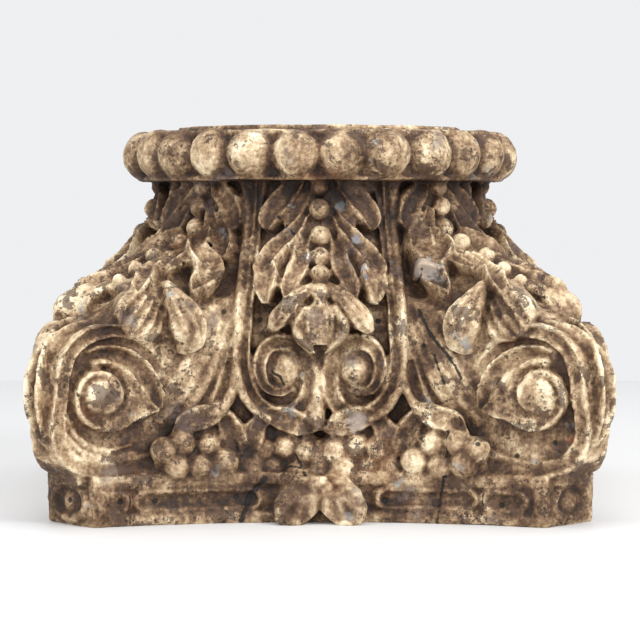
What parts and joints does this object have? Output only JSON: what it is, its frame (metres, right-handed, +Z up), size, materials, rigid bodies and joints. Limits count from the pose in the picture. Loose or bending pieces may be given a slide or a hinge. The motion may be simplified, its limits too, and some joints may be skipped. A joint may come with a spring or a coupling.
{
  "type": "corinthian capital",
  "caption": "Carved wooden column capital with acanthus leaves, corner volutes, grape bunches and a beaded neck ring, standing upside down on its abacus.",
  "frame": {"origin": "middle of the abacus, on the flat surface it stands on", "axes": "+Z up, along the column's axis and out of the neck; -Y out of the front face in the picture; the four faces look along X and Y and the four volutes along the diagonals"},
  "size_m": [0.4246, 0.4246, 0.292],
  "materials": {
    "painted_wood": "worn ivory paint over brown carved wood, waxed"
  },
  "bodies": {
    "root": {"capital": "painted_wood"}
  },
  "joints": []
}
